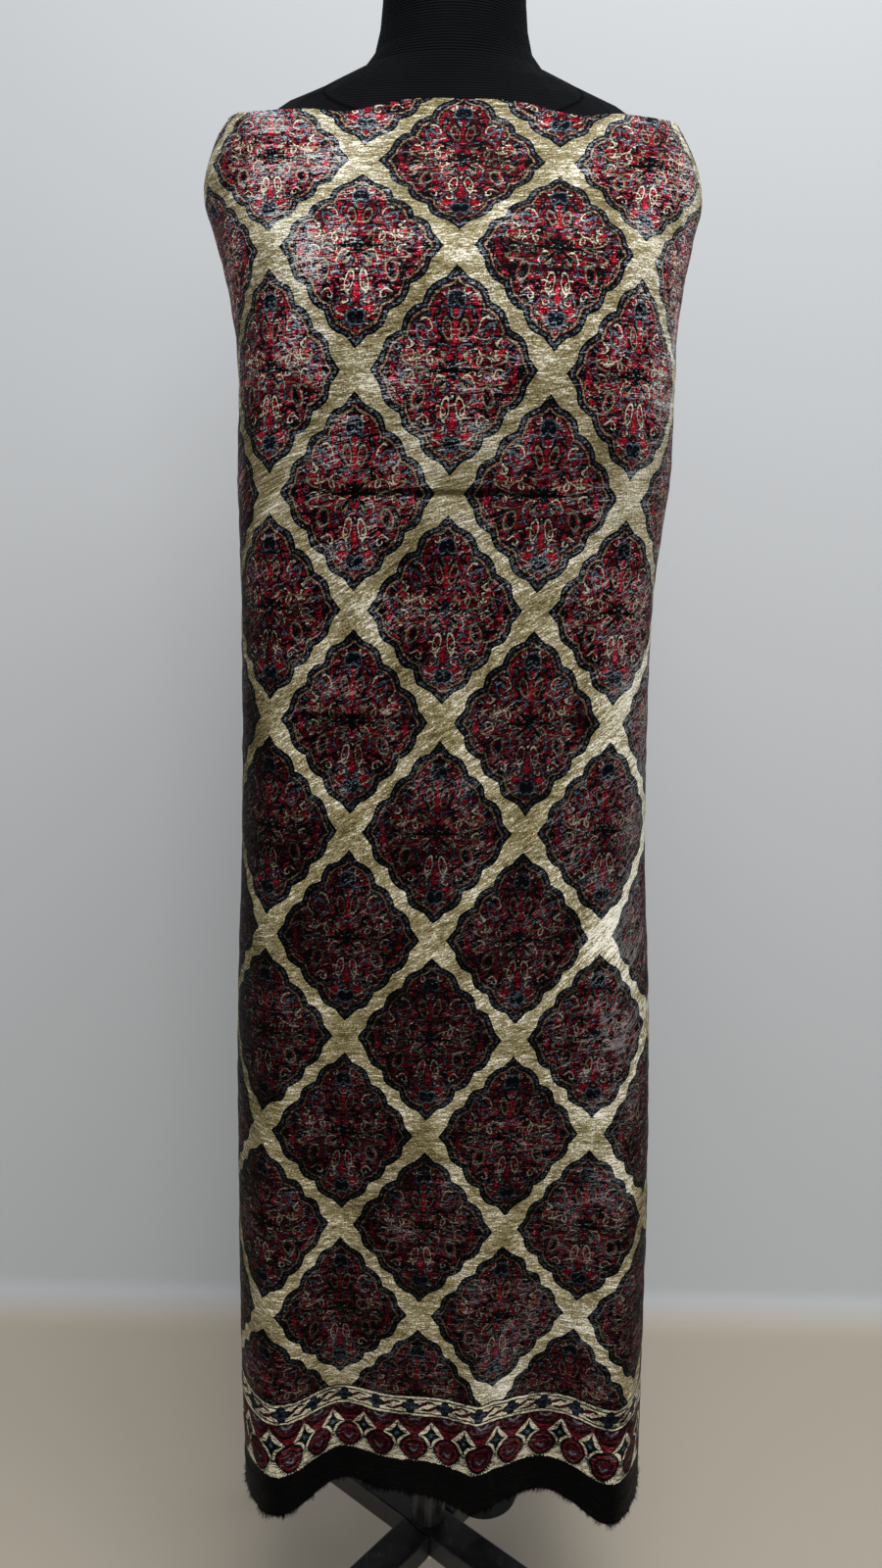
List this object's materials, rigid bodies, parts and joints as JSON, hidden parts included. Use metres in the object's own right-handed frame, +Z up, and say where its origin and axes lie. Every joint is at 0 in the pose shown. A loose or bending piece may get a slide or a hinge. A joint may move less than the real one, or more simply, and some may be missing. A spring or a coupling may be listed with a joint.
{
  "type": "ajrakh velvet fabric on a dress form",
  "caption": "Length of crushed velvet printed with an ajrakh lattice of medallions, wrapped round a black dress form on a cross-legged stand.",
  "frame": {"origin": "on the floor under the pole, at the middle of the stand's footprint", "axes": "+Z up along the pole, -Y towards the front of the dress form and the viewer, +X to the viewer's right"},
  "size_m": [0.4196, 0.4196, 1.5153],
  "materials": {
    "printed_velvet": "crushed velvet with a short pile, printed in deep red, navy, blue-grey and cream medallions in a champagne lattice, black at the lower edge",
    "black_jersey": "matt black jersey with fine level ribs on the neck",
    "black_steel": "semi-gloss black paint, worn bright along the edges",
    "dark_plastic": "scuffed dark plastic",
    "pale_plastic": "cream plastic",
    "black_rubber": "matt black rubber"
  },
  "bodies": {
    "root": {"velvet_cloth": "printed_velvet", "form_body": "black_jersey", "form_neck": "black_jersey", "neck_cap": "black_steel", "form_flange": "black_steel", "pole": "black_steel", "pole_collar": "black_steel", "clamp_ear": "black_steel", "clamp_knob": "dark_plastic", "pole_plug": "pale_plastic", "leg_bar_long": "black_steel", "leg_bar_back_right": "black_steel", "leg_bar_front_left": "black_steel", "foot_post_front_right": "black_steel", "foot_post_back_left": "black_steel", "foot_post_back_right": "black_steel", "foot_post_front_left": "black_steel", "foot_pad_front_right": "black_rubber", "foot_pad_back_left": "black_rubber", "foot_pad_back_right": "black_rubber", "foot_pad_front_left": "black_rubber"}
  },
  "joints": []
}
